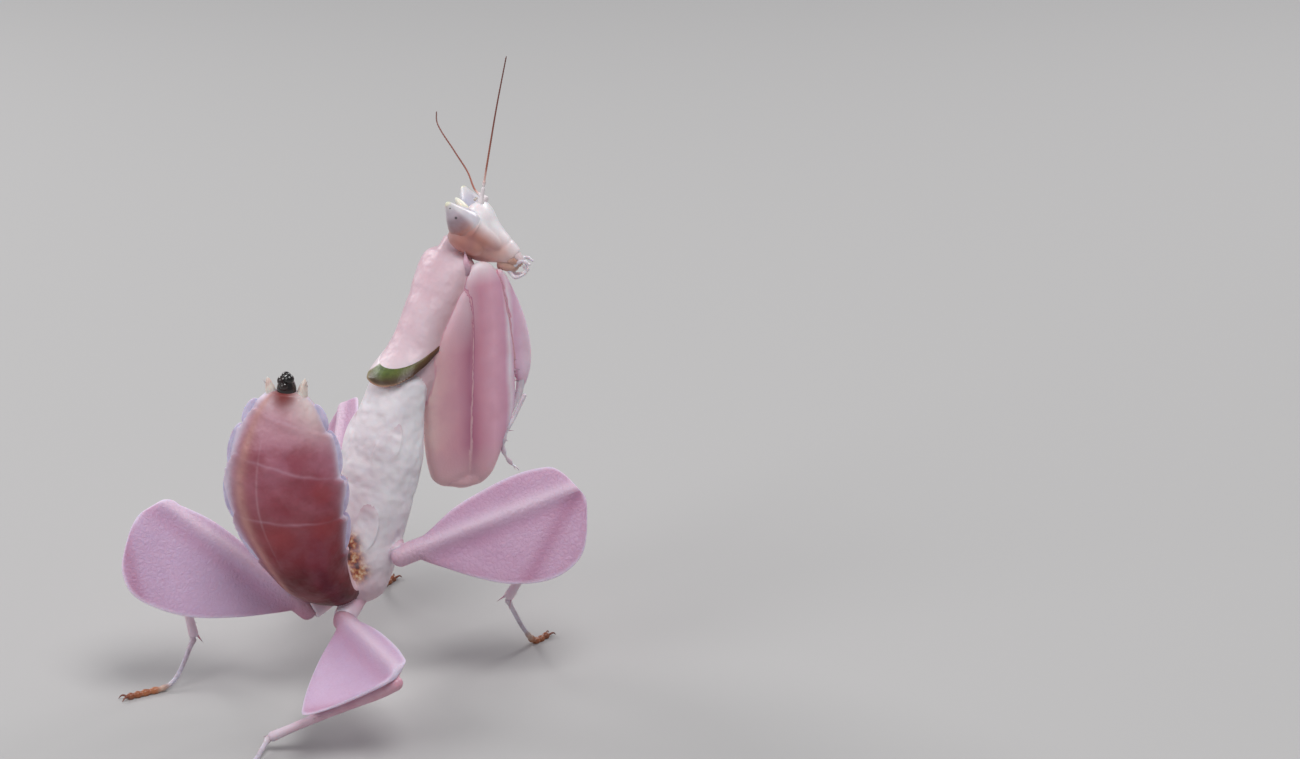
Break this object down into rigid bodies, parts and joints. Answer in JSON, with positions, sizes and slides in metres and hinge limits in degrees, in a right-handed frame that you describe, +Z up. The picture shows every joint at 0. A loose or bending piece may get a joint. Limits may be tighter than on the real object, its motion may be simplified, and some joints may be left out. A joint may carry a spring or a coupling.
{
  "type": "orchid mantis, late nymph, still display model",
  "caption": "Life-size orchid mantis nymph standing on its walking legs, abdomen curled up, petal lobes on the thighs, forelegs folded, head turned to its right.",
  "frame": {"origin": "on the floor, under the centre of the whole animal's bounding box", "axes": "+Z up; the animal faces -Y and its left side is +X"},
  "size_m": [0.0232, 0.0338, 0.0389],
  "materials": {
    "abdomen_cuticle": "satin, dusky rose",
    "abdomen_tip": "glossy, near black",
    "antenna": "satin, reddish brown, white at the base",
    "cercus": "satin, cream",
    "eye": "glossy, grey-lavender above and purple-brown below",
    "pink_cuticle": "satin, petal pink",
    "head_cuticle": "satin, white shading to orange-pink underneath",
    "foot": "satin, pale orange",
    "horn": "satin, pale yellow",
    "thorax_cuticle": "satin, white",
    "mouthparts": "satin, glassy white with tan jaws",
    "collar": "satin, olive green with a dark brown rim"
  },
  "bodies": {
    "root": {"abdomen_1": "abdomen_cuticle", "abdomen_2": "abdomen_cuticle", "abdomen_3": "abdomen_cuticle", "abdomen_4": "abdomen_cuticle", "abdomen_5": "abdomen_cuticle", "abdomen_6": "abdomen_cuticle", "abdomen_tip": "abdomen_tip", "antenna_left": "antenna", "antenna_right": "antenna", "cercus_left": "cercus", "cercus_right": "cercus", "eye_left": "eye", "eye_right": "eye", "fore_left_coxa": "pink_cuticle", "fore_left_femur": "pink_cuticle", "fore_left_tarsus": "pink_cuticle", "fore_left_tibia": "pink_cuticle", "fore_right_coxa": "pink_cuticle", "fore_right_femur": "pink_cuticle", "fore_right_tarsus": "pink_cuticle", "fore_right_tibia": "pink_cuticle", "head": "head_cuticle", "hind_left_coxa": "pink_cuticle", "hind_left_femur": "pink_cuticle", "hind_left_tarsus": "foot", "hind_left_tibia": "pink_cuticle", "hind_right_coxa": "pink_cuticle", "hind_right_femur": "pink_cuticle", "hind_right_tarsus": "foot", "hind_right_tibia": "pink_cuticle", "horn": "horn", "mesothorax": "thorax_cuticle", "metathorax": "thorax_cuticle", "middle_left_coxa": "pink_cuticle", "middle_left_femur": "pink_cuticle", "middle_left_tarsus": "foot", "middle_left_tibia": "pink_cuticle", "middle_right_coxa": "pink_cuticle", "middle_right_femur": "pink_cuticle", "middle_right_tarsus": "foot", "middle_right_tibia": "pink_cuticle", "mouthparts": "mouthparts", "pronotum": "pink_cuticle", "pronotum_collar": "collar", "prosternum": "pink_cuticle"}
  },
  "joints": []
}
